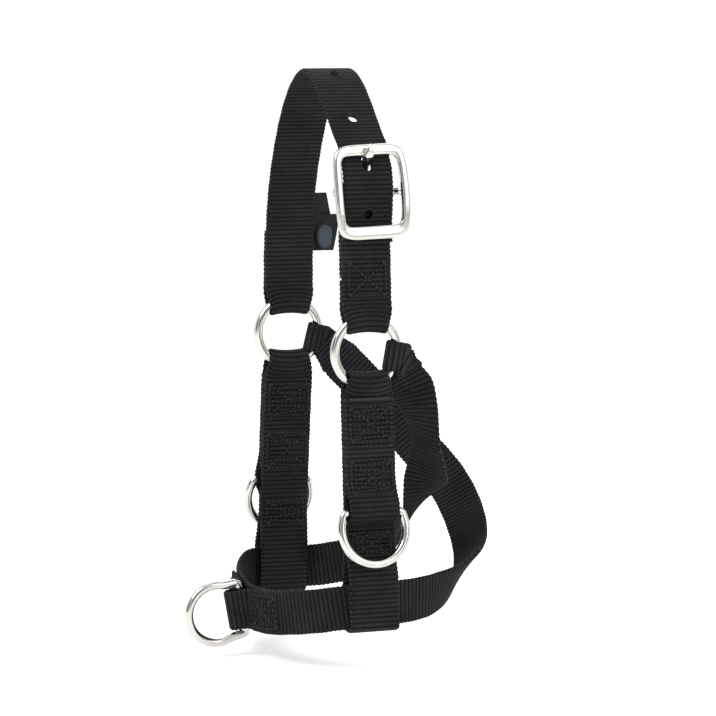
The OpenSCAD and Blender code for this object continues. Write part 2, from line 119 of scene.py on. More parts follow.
RIGHT_SHIFT = CHEEK_L * math.sin(RIGHT_FORWARD)
BILLET_LEN = BAR.z - RING.z - LOOP_R
BILLET_LEAN = math.atan((RING.x - BAR.x) / BILLET_LEN)
POCKET_X = WEB_T / 2 + D_WIRE / 2 + GAP
LEAD = Vector(joints["lead_ring_swing"]["pos_m"])


# -------------------------------- curves
def unit(v):
    return v / np.linalg.norm(v, axis=-1, keepdims=True)


def smooth(points, n):
    """Points on a Catmull-Rom curve through the rows of points, n to a span."""
    p = np.array(points, float)
    p = np.vstack([2 * p[0] - p[1], p, 2 * p[-1] - p[-2]])
    t = np.linspace(0, 1, n, endpoint=False)[:, None]
    spans = []
    for a, b, c, d in zip(p[:-3], p[1:-2], p[2:-1], p[3:]):
        spans.append(0.5 * (2 * b + (c - a) * t + (2 * a - 5 * b + 4 * c - d) * t**2
                            + (3 * b - a - 3 * c + d) * t**3))
    return np.vstack(spans + [p[-2:-1]])


def even(route, step):
    """The same route with its points a step apart."""
    route = np.array(route, float)
    s = np.r_[0, np.cumsum(np.linalg.norm(np.diff(route[:, :3], axis=0), axis=1))]
    keep = np.r_[True, np.diff(s) > 1e-9]
    route, s = route[keep], s[keep]
    t = np.linspace(0, s[-1], max(int(round(s[-1] / step)), 2) + 1)
    return np.column_stack([np.interp(t, s, route[:, k]) for k in range(route.shape[1])])


def arc(centre, r, a0, a1, n=16):
    a = np.radians(np.linspace(a0, a1, n + 1))
    return np.column_stack([centre[0] + r * np.cos(a), centre[1] + r * np.sin(a)])


def soften(values, passes):
    """Rounds the corners that are left between joined stretches of a route."""
    v = values.copy()
    for _ in range(passes):
        v[1:-1] = (v[:-2] + 2 * v[1:-1] + v[2:]) / 4
    return v


def ripple(s, u, seed):
    """A slow, uneven wave of about 1, the same each run."""
    return (np.sin(s * 61 + seed) * np.cos(u * 150 + 2 * seed)
            + 0.6 * np.sin(s * 143 + 3 * seed + u * 90)) / 1.6


# -------------------------------- meshes
def new_object(name, verts, faces, smooth_shading=True, uv=None):
    me = bpy.data.meshes.new(name)
    me.from_pydata([tuple(v) for v in verts], [], [tuple(int(i) for i in f) for f in faces])
    me.update()
    if uv is not None:
        layer = me.uv_layers.new(name="strap")
        corners = np.empty(len(me.loops), np.int32)
        me.loops.foreach_get("vertex_index", corners)
        layer.data.foreach_set("uv", np.asarray(uv, np.float32)[corners].ravel())
    me.polygons.foreach_set("use_smooth", [smooth_shading] * len(me.polygons))
    ob = bpy.data.objects.new(name, me)
    bpy.context.scene.collection.objects.link(ob)
    return ob


def tube_faces(rows, cols, offset=0, closed=False):
    """Quads of a tube of rows rings with cols points each, with its ends capped unless it is closed."""
    faces = []
    for i in range(rows if closed else rows - 1):
        a, b = i * cols + offset, (i + 1) % rows * cols + offset
        for k in range(cols):
            m = (k + 1) % cols
            faces.append((a + k, a + m, b + m, b + k))
    if not closed:
        faces.append(tuple(range(offset + cols - 1, offset - 1, -1)))
        faces.append(tuple(range(offset + (rows - 1) * cols, offset + rows * cols)))
    return faces


class Strap:
    """A length of ribbed webbing along a route of rows [x, y, z, width direction]."""

    def __init__(self, route, width, arch=None, seed=1.0, rounding=10):
        self.seed = seed
        route = even(route, RIB_PITCH / ROWS_PER_RIB)
        route[:, :3] = soften(route[:, :3], rounding)
        route[:, 3:6] = soften(route[:, 3:6], 4 * rounding)
        self.mid = route[:, :3]
        self.head = unit(np.gradient(self.mid, axis=0))
        w = route[:, 3:6]
        self.w = unit(w - self.head * np.sum(w * self.head, axis=1, keepdims=True))
        self.n = np.cross(self.head, self.w)
        self.s = np.r_[0, np.cumsum(np.linalg.norm(np.diff(self.mid, axis=0), axis=1))]
        self.width = soften(np.array([width(p) for p in self.mid]), 8)
        self.arch = arch

    def section(self):
        """Across and out shares of the rounded cross-section, and how flat each point lies."""
        half = np.linspace(-1, 1, FACE_COLUMNS + 1)
        a = np.radians(np.linspace(90, -90, EDGE_COLUMNS + 2)[1:-1])
        u = np.r_[half, np.ones(len(a)), half[::-1], -np.ones(len(a))]
        bulge = np.r_[0 * half, np.cos(a), 0 * half, -np.cos(a[::-1])]
        v = np.r_[0 * half + 1, np.sin(a), 0 * half - 1, np.sin(a[::-1])]
        flat = np.r_[0 * half + 1, np.abs(np.sin(a)), 0 * half + 1, np.abs(np.sin(a[::-1]))]
        return u, bulge, v, flat

    def lift(self, s):
        """Height of the ribs at a distance along the webbing, from 0 to 1."""
        return np.abs(np.cos(math.pi * s / RIB_PITCH)) ** RIB_ROUNDNESS

    def surface(self, i, u, side):
        """A point on a face, given the row, the distance across and the face, 1 or -1."""
        p = self.mid[i] + self.w[i] * u + self.n[i] * side * PLY_T / 2
        if self.arch is not None:
            p = p + self.arch(self.mid[i], u)
        return p

    def row(self, s):
        """The number of the row at a distance along the webbing."""
        return int(np.clip(round(s / self.s[-1] * (len(self.s) - 1)), 0, len(self.s) - 1))

    def mesh(self, name):
        u, bulge, v, flat = self.section()
        rows, cols = len(self.s), len(u)
        edge_r = PLY_T / 2
        lift = self.lift(self.s)[:, None]
        across = u[None, :] * (self.width[:, None] / 2 - edge_r)
        out = across + bulge[None, :] * (edge_r + RIB_EDGE_SHARE * RIB_HEIGHT * (lift - RIB_EDGE_LEVEL))
        thick = v[None, :] * (edge_r + flat[None, :] * RIB_HEIGHT * (lift - 1))
        thick = thick + WAVE * ripple(self.s[:, None], across, self.seed)
        # The cut ends are sealed by heat, which leaves them thinner and a little ragged
        from_end = np.minimum(self.s, self.s[-1] - self.s)[:, None]
        melt = np.clip(1 - from_end / MELT_L, 0, 1)
        thick = thick * (1 - MELT_THINNING * melt**2)
        out = out + EDGE_WANDER * np.sin(self.s[:, None] * 700 + self.seed) * np.abs(bulge)
        verts = (self.mid[:, None, :] + self.w[:, None, :] * out[..., None]
                 + self.n[:, None, :] * thick[..., None])
        ragged = melt * RAGGED * np.sin(across * 2600 + self.seed) * np.cos(across * 900)
        verts = verts + self.head[:, None, :] * ragged[..., None]
        if self.arch is not None:
            verts = verts + np.array([[self.arch(m, c) for c in row] for m, row in zip(self.mid, out)])
        uv = np.stack(np.broadcast_arrays((across + bulge * edge_r) * 1000,
                                          self.s[:, None] * 1000), axis=-1)
        return new_object(name, verts.reshape(-1, 3), tube_faces(rows, cols), uv=uv.reshape(-1, 2))


def join(name, parts):
    """One object out of several, which are used up."""
    with bpy.context.temp_override(active_object=parts[0], selected_editable_objects=parts,
                                   object=parts[0], selected_objects=parts):
        bpy.ops.object.join()
    parts[0].name = name
    parts[0].data.name = name
    return parts[0]


def wire(name, path, radius, sides=20, closed=False, side_axis=None):
    """A rod along a path. radius is one number or one for each point. Without a side axis the
    path is a flat one."""
    p = np.array(path, float)
    if closed:
        head = unit(np.roll(p, -1, axis=0) - np.roll(p, 1, axis=0))
    else:
        head = unit(np.gradient(p, axis=0))
    r = np.broadcast_to(np.asarray(radius, float), len(p))
    if side_axis is None:
        side_axis = np.linalg.svd(p - p.mean(axis=0))[2][2]
    a = np.broadcast_to(np.array(side_axis, float), p.shape)
    a = unit(a - head * np.sum(a * head, axis=1, keepdims=True))
    b = np.cross(head, a)
    t = np.linspace(0, 2 * math.pi, sides, endpoint=False)
    ring = (p[:, None] + r[:, None, None] * (a[:, None] * np.cos(t)[None, :, None]
                                             + b[:, None] * np.sin(t)[None, :, None]))
    return new_object(name, ring.reshape(-1, 3), tube_faces(len(p), sides, closed=closed))


def punch(ob, cutters):
    """Cuts the cutters out of ob."""
    for c in cutters:
        m = ob.modifiers.new("punch", "BOOLEAN")
        m.operation = "DIFFERENCE"
        m.solver = "EXACT"
        m.object = c
    done = bpy.data.meshes.new_from_object(ob.evaluated_get(bpy.context.evaluated_depsgraph_get()))
    ob.modifiers.clear()
    ob.data = done
    for c in cutters:
        bpy.data.objects.remove(c)


def rod_between(a, b, r):
    return wire("cutter", [a, b], r, 32, side_axis=(0, 1, 0.001))


# -------------------------------- materials
def material(name):
    mat = bpy.data.materials.new(name)
    mat.use_nodes = True
    tree = mat.node_tree
    return mat, tree, tree.nodes["Principled BSDF"]


def feed(tree, n, inputs):
    """Sets or links a node's inputs, by name or number."""
    for key, value in inputs.items():
        if isinstance(value, bpy.types.NodeSocket):
            tree.links.new(value, n.inputs[key])
        else:
            n.inputs[key].default_value = value


def node(tree, kind, inputs=None, **values):
    """A node with its settings and its inputs."""
    n = tree.nodes.new(kind)
    for key, value in values.items():
        setattr(n, key, value)
    feed(tree, n, inputs or {})
    return n


def math_node(tree, operation, a, b=0.0):
    return node(tree, "ShaderNodeMath", {0: a, 1: b}, operation=operation).outputs[0]


def times(tree, a, b):
    return math_node(tree, "MULTIPLY", a, b)


def mix_colour(tree, factor, a, b):
    return node(tree, "ShaderNodeMix", {0: factor, 6: a, 7: b}, data_type="RGBA").outputs[2]


def own_place(tree):
    return node(tree, "ShaderNodeTexCoord").outputs["Object"]


def noise(tree, scale, detail=4.0, roughness=0.55):
    return node(tree, "ShaderNodeTexNoise", {"Vector": own_place(tree), "Scale": scale, "Detail": detail,
                                             "Roughness": roughness}).outputs["Fac"]


def ramp(tree, value, low, high, a=0.0, b=1.0):
    return node(tree, "ShaderNodeMapRange", {"Value": value, "From Min": low, "From Max": high,
                                             "To Min": a, "To Max": b}, clamp=True).outputs[0]


def bump(tree, height, strength, distance):
    return node(tree, "ShaderNodeBump", {"Height": height, "Strength": strength,
                                         "Distance": distance}).outputs[0]


def total(tree, first, *weighted):
    """A value plus others, each given with its weight."""
    for value, weight in weighted:
        first = math_node(tree, "ADD", first, times(tree, value, weight))
    return first


# Spacing of the weave in millimetres, like the webbing's UV map
YARN_MM = 0.9
FIBRE_ACROSS_MM = 0.19
FIBRE_ALONG_MM = 0.55


def webbing_material(name, dark, light):
    """Nylon webbing: ribs across, yarns along, both from the strap's own length and width. The colour has
    painted highlights on the yarn crowns of the rib crests and painted shade in the grooves between the
    ribs.
    """
    mat, tree, bsdf = material(name)
    strap = node(tree, "ShaderNodeUVMap", uv_map="strap").outputs[0]
    parts = node(tree, "ShaderNodeSeparateXYZ", {0: strap})
    across, along = parts.outputs[0], parts.outputs[1]
    turns = math_node(tree, "DIVIDE", along, RIB_PITCH * 1000)
    rib = math_node(tree, "ABSOLUTE", math_node(tree, "COSINE", times(tree, turns, math.pi)))
    # The yarns of every other rib lie half a yarn further across
    odd = math_node(tree, "PINGPONG", math_node(tree, "ROUND", turns), 1.0)
    phase = total(tree, times(tree, across, 2 * math.pi / YARN_MM), (odd, math.pi))
    yarns = ramp(tree, math_node(tree, "SINE", phase), -1, 1)
    slant = total(tree, times(tree, across, 2 * math.pi / FIBRE_ACROSS_MM),
                  (along, 2 * math.pi / FIBRE_ALONG_MM))
    fibre = ramp(tree, math_node(tree, "SINE", slant), -1, 1)
    fuzz = noise(tree, 2600.0, 3.0, 0.7)
    patch = noise(tree, 55.0, 4.0, 0.6)
    # weave peaks on the yarn crowns along the rib crests; it gives the bump its relief and also paints a
    # highlight into the colour
    weave = times(tree, yarns, rib)
    # Painted highlight: half of the colour's lightness comes from weave, with random patches, fibres and
    # fuzz making up the rest
    shade = total(tree, times(tree, weave, 0.5), (fibre, 0.12),
                  (ramp(tree, patch, 0.35, 0.7), 0.28), (fuzz, 0.12))
    # Painted shade: the colour is pulled towards the dark tone in the grooves between the ribs
    shade = times(tree, shade, ramp(tree, rib, 0.05, 0.6))
    height = total(tree, times(tree, weave, 0.55), (fibre, 0.16), (fuzz, 0.35))
    feed(tree, bsdf, {"Base Color": mix_colour(tree, shade, dark, light),
                      "Roughness": ramp(tree, fuzz, 0.3, 0.7, 0.45, 0.7),
                      "Normal": bump(tree, height, 1.0, 0.00035), "Specular IOR Level": 0.06})
    return mat


def thread_material():
    """Black bonded thread with a fine twist."""
    mat, tree, bsdf = material("bonded_thread")
    twist = node(tree, "ShaderNodeTexWave", {"Vector": own_place(tree), "Scale": 900.0, "Distortion": 1.5,
                                             "Detail": 2.0}, bands_direction="DIAGONAL")
    tone = noise(tree, 400.0)
    colour = mix_colour(tree, tone, (0.008, 0.008, 0.0085, 1), (0.030, 0.030, 0.032, 1))
    feed(tree, bsdf, {"Base Color": colour, "Roughness": ramp(tree, tone, 0.3, 0.7, 0.45, 0.7),
                      "Normal": bump(tree, twist.outputs["Fac"], 0.5, 0.0001), "Specular IOR Level": 0.15})
    return mat


def nickel_material(name, rough=0.13, cast=0.25):
    """Bright nickel plate: a warm metal with faint waves, fine handling marks and small pits."""
    mat, tree, bsdf = material(name)
    cloud = noise(tree, 90.0, 3.0)
    marks = noise(tree, 1400.0, 5.0, 0.7)
    pits = node(tree, "ShaderNodeTexVoronoi", {"Vector": own_place(tree), "Scale": 1100.0})
    pit = ramp(tree, pits.outputs["Distance"], 0.0, 0.12)
    tone = mix_colour(tree, ramp(tree, cloud, 0.35, 0.65), (0.56, 0.54, 0.51, 1), (0.64, 0.62, 0.59, 1))
    height = total(tree, cloud, (marks, 0.03), (pit, 0.05))
    feed(tree, bsdf, {"Base Color": mix_colour(tree, pit, (0.46, 0.43, 0.39, 1), tone), "Metallic": 1.0,
                      "Roughness": ramp(tree, marks, 0.4, 0.75, rough, rough + 0.14),
                      "Normal": bump(tree, height, cast, 0.0004)})
    return mat


def label_material(name, base, thread, scale):
    """A fine plain weave in two close tones, for the label and for nylon fused by heat."""
    mat, tree, bsdf = material(name)
    parts = node(tree, "ShaderNodeSeparateXYZ", {0: own_place(tree)})
    a = math_node(tree, "SINE", times(tree, parts.outputs[1], scale))
    b = math_node(tree, "SINE", times(tree, parts.outputs[2], scale))
    weave = ramp(tree, times(tree, a, b), -1, 1)
    tone = noise(tree, 260.0)
    shade = total(tree, times(tree, weave, 0.6), (tone, 0.4))
    feed(tree, bsdf, {"Base Color": mix_colour(tree, shade, base, thread),
                      "Roughness": ramp(tree, tone, 0.3, 0.7, 0.45, 0.65),
                      "Normal": bump(tree, weave, 0.4, 0.0001), "Specular IOR Level": 0.15})
    return mat


# The light tone is reached on the painted highlights of the rib crests, the dark tone in the painted shade
# of the grooves
WEBBING = webbing_material("ribbed_webbing", (0.0035, 0.0035, 0.0038, 1), (0.043, 0.043, 0.046, 1))
THREAD = thread_material()
FUSED = label_material("fused_nylon", (0.012, 0.012, 0.013, 1), (0.050, 0.050, 0.054, 1), 9000.0)
NICKEL = nickel_material("nickel_wire")
CAST_NICKEL = nickel_material("nickel_casting", 0.15, 0.45)
LABEL = label_material("woven_label", (0.004, 0.004, 0.005, 1), (0.016, 0.017, 0.020, 1), 16000.0)
OVAL = label_material("woven_oval", (0.018, 0.028, 0.038, 1), (0.075, 0.095, 0.115, 1), 16000.0)


def place(ob, body, slot, mat, *nodes):
    """Gives a piece its material and its body, and hides the CAD nodes that it stands for. The slot is not
    used.
    """
    ob.data.materials.clear()
    ob.data.materials.append(mat)
    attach(ob, body)
    if nodes:
        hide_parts(*nodes)


# -------------------------------- frames of the parts
def about_y(angle):
    return Matrix.Rotation(angle, 4, "Y")


MIRROR = Matrix.Scale(-1, 4, (1, 0, 0))


def cheek_frame(side):
    """From a left cheek's own [outward, forward and back, up], centred on its upper ring."""
    tilt = about_y(-CHEEK_LEAN) @ Matrix.Rotation(-RIGHT_FORWARD if side < 0 else 0, 4, "X")
    at = Matrix.Translation(RING) @ tilt
    return MIRROR @ at if side < 0 else at


BUCKLE = Matrix.Translation(BAR) @ about_y(-BILLET_LEAN)
FRAME = (BUCKLE @ Matrix.Translation((FRAME_OUT, FRAME_SIDE, 0)) @ about_y(-FRAME_TILT)
         @ Matrix.Rotation(FRAME_ROLL, 4, "X"))
RIGHT_RING = Vector((-RING.x, RING.y, RING.z))


def moved(matrix, points):
    """The points of a part's own frame, as rows in the shared frame."""
    m = np.array(matrix)
    p = np.asarray(points, float)
    return p @ m[:3, :3].T + m[:3, 3]


def planar_route(flat, matrix):
    """A route drawn as [outward, up] in a part's own frame becomes one for a Strap, its width
    along that frame's Y."""
    flat = np.asarray(flat, float)
    p = moved(matrix, np.column_stack([flat[:, 0], 0 * flat[:, 0], flat[:, 1]]))
    w = np.array(matrix)[:3, 1]
    return np.column_stack([p, np.broadcast_to(w, p.shape)])


def bunched_width(ring_centre):
    """Width of a 19 mm strap, which draws in where it goes round an upper ring."""
    c = np.array(ring_centre)
    reach = [LOOP_R - 0.004, LOOP_R, RING_R + 0.004]
    halves = [SHOWN_BUNCH_HALF - 0.0006, SHOWN_BUNCH_HALF, WEB_W / 2]
    return lambda p: 2 * np.interp(np.linalg.norm((p - c)[1:]), reach, halves)


def ring_arch(ring_centre, up):
    """Lets the middle of a strap follow the curve of the ring that it goes round."""
    c = np.array(ring_centre)
    up = np.array(up, float)

    def arch(p, across):
        d = np.linalg.norm((p - c)[1:])
        near = np.clip((RING_R + ARCH_REACH - d) / ARCH_REACH, 0, 1)
        dip = math.sqrt(max(RING_R**2 - across**2, 0)) - LOOP_R
        return up * (0.35 * dip if dip > 0 else dip) * near * near * (3 - 2 * near)

    return arch


# -------------------------------- stitching
STITCH_L = 0.0014
STITCH_PITCH = 0.0018
ZIGZAG_STEP = 0.0023
STITCH_R = 0.00042
STITCH_RADII = STITCH_R * np.array([0.55, 0.9, 1, 1, 1, 0.9, 0.55])
STITCH_SIDES = 8


def stitch_verts(a, b, out):
    """A single stitch that rises from the webbing at a and dives back in at b."""
    t = np.linspace(0, 1, len(STITCH_RADII))
    rise = np.sin(t * math.pi) ** 0.6 * 1.15 - 0.75
    p = a[None] * (1 - t)[:, None] + b[None] * t[:, None] + out * (rise * STITCH_R)[:, None]
    head = unit(np.gradient(p, axis=0))
    side = unit(np.cross(head, np.broadcast_to(out, p.shape)))
    up = np.cross(side, head)
    k = np.linspace(0, 2 * math.pi, STITCH_SIDES, endpoint=False)
    ring = p[:, None] + STITCH_RADII[:, None, None] * (side[:, None] * np.cos(k)[None, :, None]
                                                       + up[:, None] * np.sin(k)[None, :, None])
    return ring.reshape(-1, 3)


def stitch_object(name, stitches):
    """One object out of the points of many stitches."""
    rows = len(STITCH_RADII)
    faces = []
    for k in range(len(stitches)):
        faces += tube_faces(rows, STITCH_SIDES, offset=k * rows * STITCH_SIDES)
    return new_object(name, np.vstack(stitches), faces)


def sew(name, strap, lines, sides, body, *nodes):
    """Rows of stitches on one or both faces of a strap. A line runs between two points, each
    [distance along, distance across]."""
    stitches = []
    for face in sides:
        for (s0, u0), (s1, u1) in lines:
            count = max(int(round(math.hypot(s1 - s0, u1 - u0) / STITCH_PITCH)), 1)
            for k in range(count):
                ends = [(k + f) / count for f in (0.08, 0.08 + STITCH_L / STITCH_PITCH)]
                rows = [strap.row(s0 + (s1 - s0) * f) for f in ends]
                across = [u0 + (u1 - u0) * f for f in ends]
                a, b = (strap.surface(i, u, face) for i, u in zip(rows, across))
                stitches.append(stitch_verts(a, b, strap.n[rows[0]] * face))
    place(stitch_object(name, stitches), body, "thread", THREAD, *nodes)


def box_lines(s0, s1, half, cross=True):
    """The lines of a sewn box, with a cross in it or without."""
    lines = [((s0, -half), (s1, -half)), ((s0, half), (s1, half)), ((s0, -half), (s0, half)),
             ((s1, -half), (s1, half))]
    if cross:
        lines += [((s0, -half), (s1, half)), ((s0, half), (s1, -half))]
    return lines


def filled_lines(s0, s1, half):
    """Box stitching gone over with rows of zigzag."""
    lines = box_lines(s0, s1, half)
    count = max(int(round(abs(s1 - s0) / ZIGZAG_STEP)), 2)
    for k in range(count):
        a, b = (s0 + (s1 - s0) * (k + f) / count for f in (0.25, 0.75))
        across = half * 0.92 * (1 if k % 2 else -1)
        lines.append(((a, -across), (b, across)))
    return lines


# -------------------------------- crown strap
CROWN_TOP = [(0.0285, -0.0185), (0.0198, -0.0096), (0.0105, -0.0022), (0, 0.00095), (-0.011, -0.004),
             (-0.0205, -0.014), (-0.0282, -0.027), (-0.0339, -0.041), (-0.0370, -0.055),
             (-0.0380, -0.070), (-0.03805, -0.080)]
CROWN_BUCKLE = [(0.0031, -0.0180), (0.0031, -0.0145), (0.00315, -0.0095), (0.004, -0.005),
                (0.0045, 0), (0.0044, 0.005), (0.0036, 0.0085), (0.0016, 0.0122),
                (0.00055, 0.0155)]
in_buckle = moved(BUCKLE, [(x, 0, z) for x, z in CROWN_BUCKLE])
loop_z = RING.z + LOOP_R
crown_loop = arc((-RING.x, loop_z), LOOP_FOLD_R, 360, 180)
flap = [(-0.03995, -0.080), (-0.0399, -0.070), (-0.0394, -0.065), (-0.0388, -0.060)]
crown_flat = np.vstack([smooth(np.vstack([in_buckle[:, [0, 2]], CROWN_TOP]), 12),
                        crown_loop, smooth(flap, 8)])
crown_route = planar_route(crown_flat, Matrix.Identity(4))
crown = Strap(crown_route, bunched_width(RIGHT_RING), ring_arch(RIGHT_RING, (0, 0, 1)), seed=0.7)
crown_ob = crown.mesh("crown_strap_webbing")
# The row where the strap turns back round the right upper ring
CROWN_LOW = int(np.argmin(crown.mid[:, 2]))
HOLE_R = 0.002
RIM_R = 0.00022
CUTTER_REACH = 0.004
TONGUE_SLOT_R = 0.0018


def hole_at(s, r=HOLE_R):
    """A punched hole through the crown strap, a distance from its tail."""
    i = crown.row(s)
    n = crown.n[i] * CUTTER_REACH
    return rod_between(crown.mid[i] - n, crown.mid[i] + n, r)


def hole_rim(ob_name, s):
    """The fused rim that a hot punch leaves on both faces of a hole."""
    i = crown.row(s)
    k = np.linspace(0, 2 * math.pi, 40, endpoint=False)
    rims = []
    for face in (1, -1):
        centre = crown.mid[i] + crown.n[i] * face * (PLY_T / 2 - 0.00005)
        r = HOLE_R + 0.00012 + 0.00004 * np.sin(5 * k + s * 900)
        ring = centre + r[:, None] * (crown.w[i] * np.cos(k)[:, None] + crown.head[i] * np.sin(k)[:, None])
        rims.append(wire("rim", ring, RIM_R, 8, closed=True))
    return join(ob_name, rims)


def crown_s(point):
    """Distance along the crown strap of the row nearest a point in [x, z]."""
    d = np.linalg.norm(crown.mid[:, [0, 2]] - np.array(point), axis=1)
    return crown.s[int(np.argmin(d[:CROWN_LOW]))]


# Heights above the buckle's bar: the hole below it, near the tail, and the one that the tongue uses
TAIL_HOLE = -0.00775
TONGUE_HOLE = 0.0104
# Places [x, z] of the two holes above the buckle
UPPER_HOLES = ((0.0255, -0.0165), (0.008, -0.001))
tail_hole = crown_s(moved(BUCKLE, [(0.0031, 0, TAIL_HOLE)])[0][[0, 2]])
hole_runs = [tail_hole] + [crown_s(at) for at in UPPER_HOLES]
tongue_s = crown_s(moved(BUCKLE, [(0.0027, 0, TONGUE_HOLE)])[0][[0, 2]])
# The tongue has pulled its hole into a short slot
slots = [hole_at(tongue_s + d, TONGUE_SLOT_R) for d in (-0.0018, -0.0006, 0.0006)]
punch(crown_ob, [hole_at(s) for s in hole_runs] + slots)
place(crown_ob, "root", "webbing", WEBBING, "crown_strap")

# -------------------------------- billet
BAR_FOLD_R = BAR_D / 2 + GAP + WEB_T / 2
BILLET_SEAM = -0.031
billet_l = BILLET_LEN / math.cos(BILLET_LEAN)
half_ply = WEB_T / 2
billet_flat = np.vstack([
    [(-half_ply, BILLET_SEAM + 0.0004), (-half_ply, -0.012), (-half_ply, -0.008)],
    smooth([(-half_ply, -0.0078), (-0.0018, -0.003)], 4),
    arc((0, 0), BAR_FOLD_R, 180, 0),
    smooth([(0.0018, -0.003), (half_ply, -0.0078)], 4),
    [(half_ply, -0.012), (half_ply, -billet_l + 0.0085)],
    arc((0, -billet_l), LOOP_FOLD_R, 0, -180),
    [(-half_ply, -billet_l + 0.0085), (-half_ply, BILLET_SEAM - 0.0004)]])
billet = Strap(planar_route(billet_flat, BUCKLE), bunched_width(RING), ring_arch(RING, (0, 0, 1)),
               seed=2.1, rounding=14)
billet_ob = billet.mesh("buckle_billet_webbing")
# The slot at the fold that the tongue comes out of
SLOT_HALF_W = 0.0025
SLOT_FROM, SLOT_TO = -0.0036, 0.006
slot_corners = [(x, y, z) for x in (-0.008, 0.008) for y in (-SLOT_HALF_W, SLOT_HALF_W)
                for z in (SLOT_FROM, SLOT_TO)]
box_faces = [(0, 1, 3, 2), (4, 6, 7, 5), (0, 4, 5, 1), (2, 3, 7, 6), (0, 2, 6, 4), (1, 5, 7, 3)]
slot_cut = new_object("cutter", moved(BUCKLE, slot_corners), box_faces, False)
punch(billet_ob, [slot_cut])
place(billet_ob, "root", "webbing", WEBBING, "buckle_billet")

# -------------------------------- cheek straps
SLOT_IN, SLOT_OUT = 0.0032, 0.0018
SLOT_DROP = CHEEK_L - NOSE_W / 2 - 0.0003
SLOT_FLOOR = -SLOT_DROP - NOSE_W - 0.0006
CUT_END = 0.0165
CUT_BEAD_R = 0.00085
cheek_flat = np.vstack([
    [(0, -0.052), (0, -0.040), (0, -0.019)],
    smooth([(0.0003, -0.0175), (0.0022, -0.0135)], 6),
    arc((0, -LOOP_R), LOOP_FOLD_R, 0, 180),
    smooth([(-0.0026, -0.0135), (-WEB_T, -0.0205), (-WEB_T, -0.0640),
            (-SLOT_IN - 0.00075, -SLOT_DROP + 0.001)], 12),
    smooth([(-SLOT_IN - half_ply, -SLOT_DROP - 0.003), (-SLOT_IN - half_ply, SLOT_FLOOR + 0.001),
            (-SLOT_IN * 0.55, SLOT_FLOOR - 0.00085), (SLOT_OUT * 0.55, SLOT_FLOOR - 0.00085),
            (SLOT_OUT + half_ply, SLOT_FLOOR + 0.001), (SLOT_OUT + half_ply, -SLOT_DROP - 0.003)], 8),
    smooth([(SLOT_OUT + 0.00075, -SLOT_DROP + 0.001), (0.0003, -0.0715), (0, -0.0665), (0, -0.0622)], 8),
    arc((POCKET_X, -POCKET_DROP), BAR_FOLD_R + 0.0004, -90, 0, 10),
    smooth([(0.0052, -0.0540), (0.0026, -0.0487), (WEB_T, -0.0450), (WEB_T, -0.0300),
            (WEB_T, -CUT_END)], 10)])
# Each sewn stretch of a cheek strap: its name, how far below the ring it starts and ends, and its
# half-width
CHEEK_SEWING = (("top", 0.0195, 0.0315, 0.0078), ("pocket", 0.0385, 0.0515, 0.0078),
                ("loop", 0.0645, 0.0735, 0.0072))
EXTRA_ROW = 0.0335


def near_s(strap, matrix, out, up):
    """Distance along a strap of the row nearest [outward, up] in its own frame."""
    p = moved(matrix, [(out, 0, up)])[0]
    return strap.s[int(np.argmin(np.linalg.norm(strap.mid - p, axis=1)))]


for side, word in ((1, "left"), (-1, "right")):
    at = cheek_frame(side)
    ring_at = RING if side > 0 else RIGHT_RING
    down = -np.array(at)[:3, 2]
    strap = Strap(planar_route(cheek_flat, at), bunched_width(ring_at), ring_arch(ring_at, down),
                  seed=3.3 + side, rounding=12)
    place(strap.mesh(f"{word}_cheek_strap_webbing"), "lower", "webbing", WEBBING, f"{word}_cheek_strap")

    # The bead that a hot knife leaves along the cut end of the outer ply
    last = len(strap.s) - 3
    bead = [strap.mid[last] + strap.w[last] * u + strap.head[last] * 0.0001 * math.sin(u * 2400)
            for u in np.linspace(-WEB_W / 2 + 0.0006, WEB_W / 2 - 0.0006, 60)]
    bead_ob = wire(f"{word}_cheek_cut_end", bead, CUT_BEAD_R, 12, side_axis=strap.n[last])
    place(bead_ob, "lower", "webbing", FUSED)

    # The outer ply runs up and the inner ply runs down, so each has its own face outward
    outward = np.array(at)[:3, 0]
    face = 1 if np.dot(strap.n[strap.row(near_s(strap, at, WEB_T, -0.03))], outward) > 0 else -1
    back = -1 if np.dot(strap.n[strap.row(near_s(strap, at, -WEB_T, -0.03))], outward) > 0 else 1
    for part, top, low, half in CHEEK_SEWING:
        ply = 0.0 if part == "loop" else WEB_T
        rows = filled_lines(near_s(strap, at, ply, -top), near_s(strap, at, ply, -low), half)
        if part == "top":
            extra = near_s(strap, at, ply, -EXTRA_ROW)
            rows += [((extra, -half), (extra, half))]
        sew(f"{word}_cheek_{part}_stitches", strap, rows, (face,), "lower",
            f"{word}_cheek_{part}_stitching")
        rows = filled_lines(near_s(strap, at, -WEB_T, -top), near_s(strap, at, -WEB_T, -low), half)
        sew(f"{word}_cheek_{part}_stitches_inside", strap, rows, (back,), "lower")

billet_face = 1 if billet.n[billet.row(near_s(billet, BUCKLE, half_ply, -0.031))][0] > 0 else -1
sew("billet_stitches", billet, box_lines(near_s(billet, BUCKLE, half_ply, -0.0250),
                                         near_s(billet, BUCKLE, half_ply, -0.0370), 0.007),
    (billet_face,), "root", "billet_stitching")
crown_face = 1 if crown.n[crown.row(crown_s((-0.0399, -0.070)))][0] < 0 else -1
sew("crown_stitches", crown, box_lines(crown_s((-0.0394, -0.0655)), crown_s((-0.03995, -0.0785)), 0.007),
    (crown_face,), "root", "crown_stitching")
tail_end = crown.s[-1]
flap_face = 1 if crown.n[crown.row(tail_end - 0.01)][0] < 0 else -1
sew("crown_stitches_outside", crown, box_lines(tail_end - 0.0050, tail_end - 0.0180, 0.007),
    (flap_face,), "root")

